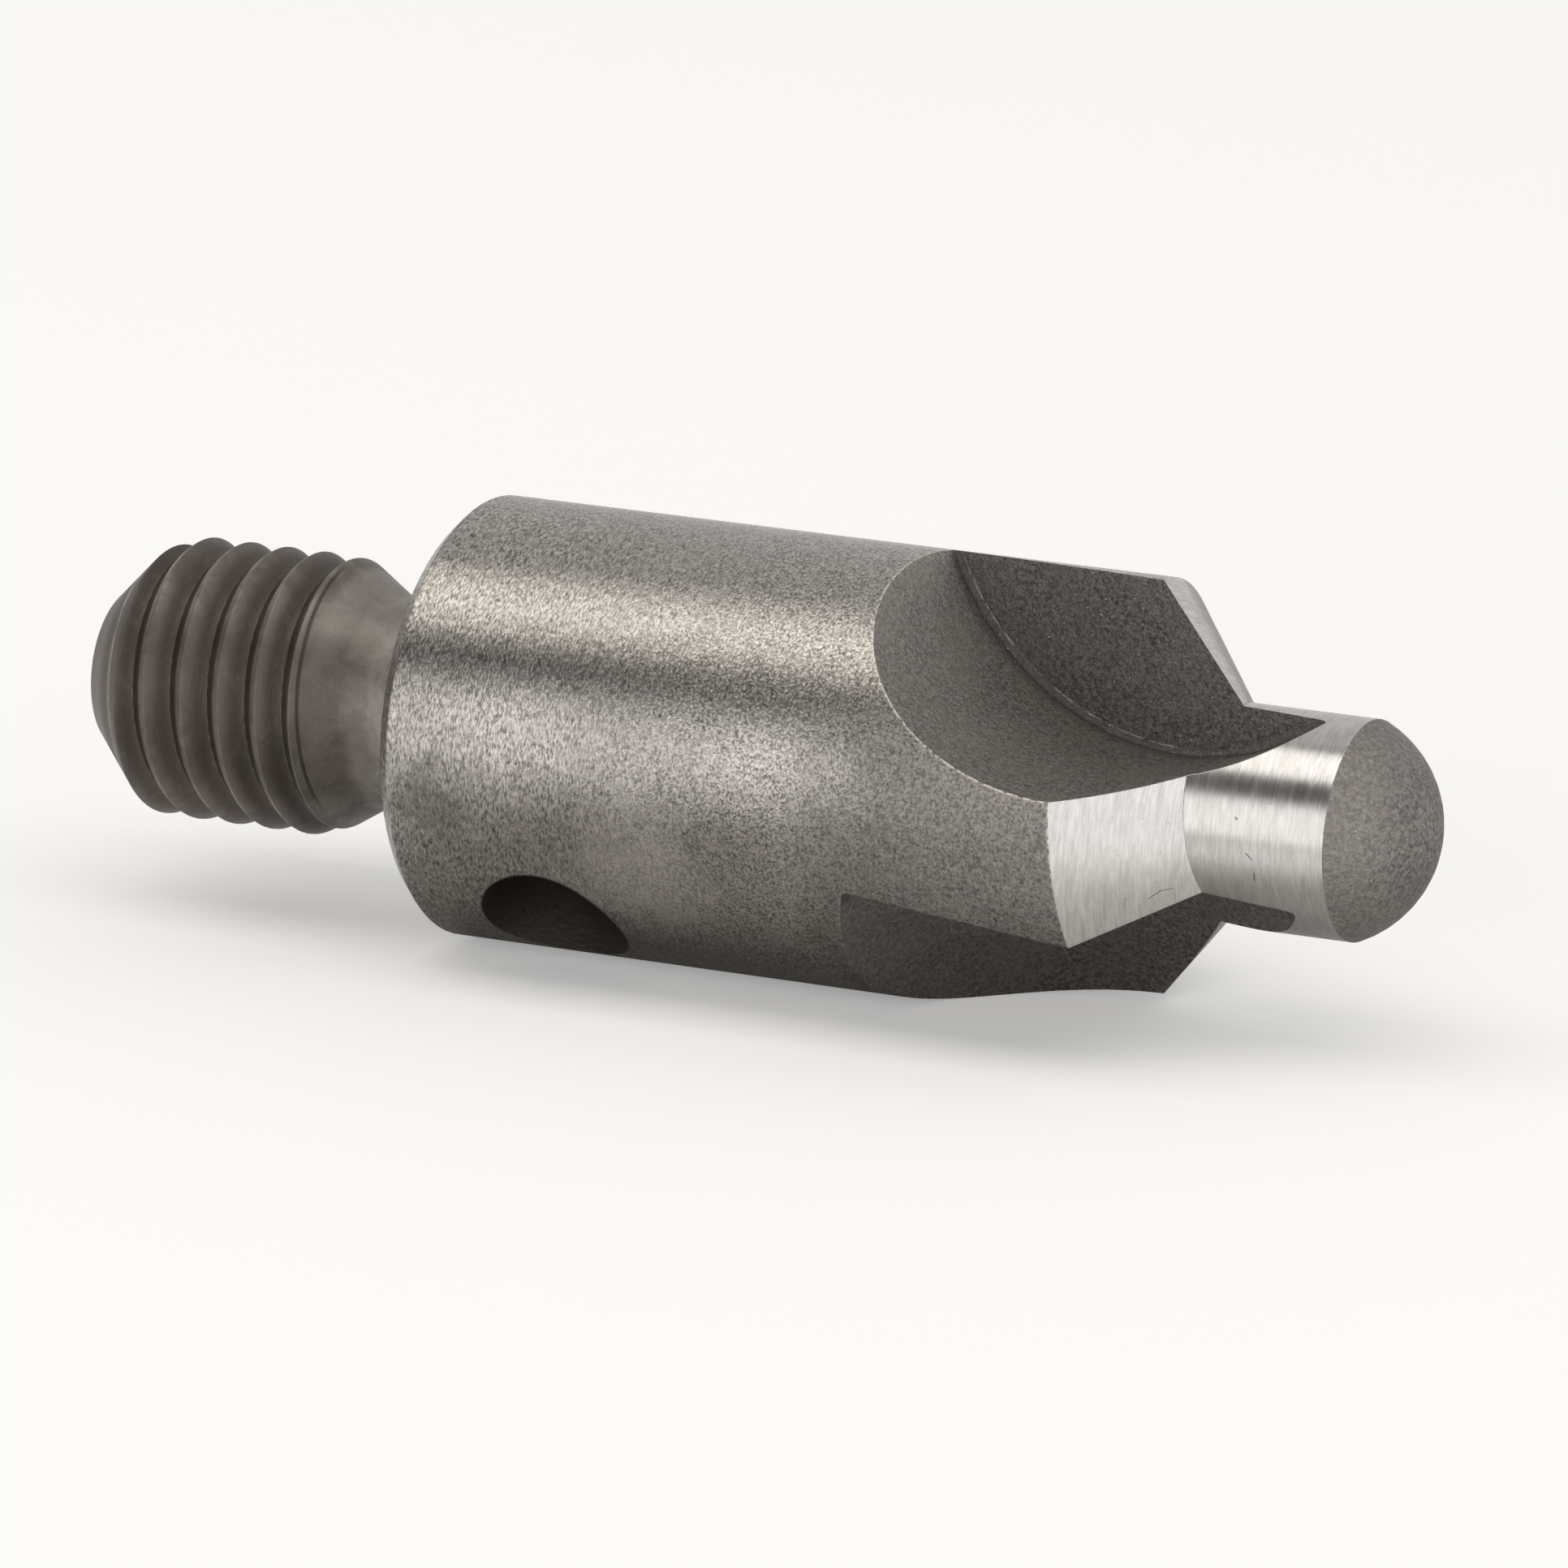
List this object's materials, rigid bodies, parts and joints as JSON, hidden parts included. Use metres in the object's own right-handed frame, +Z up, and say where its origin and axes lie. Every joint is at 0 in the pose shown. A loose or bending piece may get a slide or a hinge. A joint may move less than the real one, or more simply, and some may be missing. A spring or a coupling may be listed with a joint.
{
  "type": "piloted countersink cutter",
  "caption": "Fluted countersink cutter with a ground pilot, cylindrical body with a cross hole for a pin spanner, and an undercut threaded shank.",
  "frame": {"origin": "on the tool axis in the plane of the shoulder, where the body seats on its holder", "axes": "+X along the tool axis towards the pilot, -X along the threaded shank, +Z up with the tool lying on its side"},
  "size_m": [0.0309, 0.0096, 0.0096],
  "materials": {
    "shank": "dark, lightly oiled thread and neck",
    "body": "fine grey blasted body with bright ground cone lands",
    "pilot": "bright ground wall with a grey blasted nose"
  },
  "bodies": {
    "root": {"threaded_shank": "shank", "cutter_body": "body", "pilot": "pilot"}
  },
  "joints": []
}
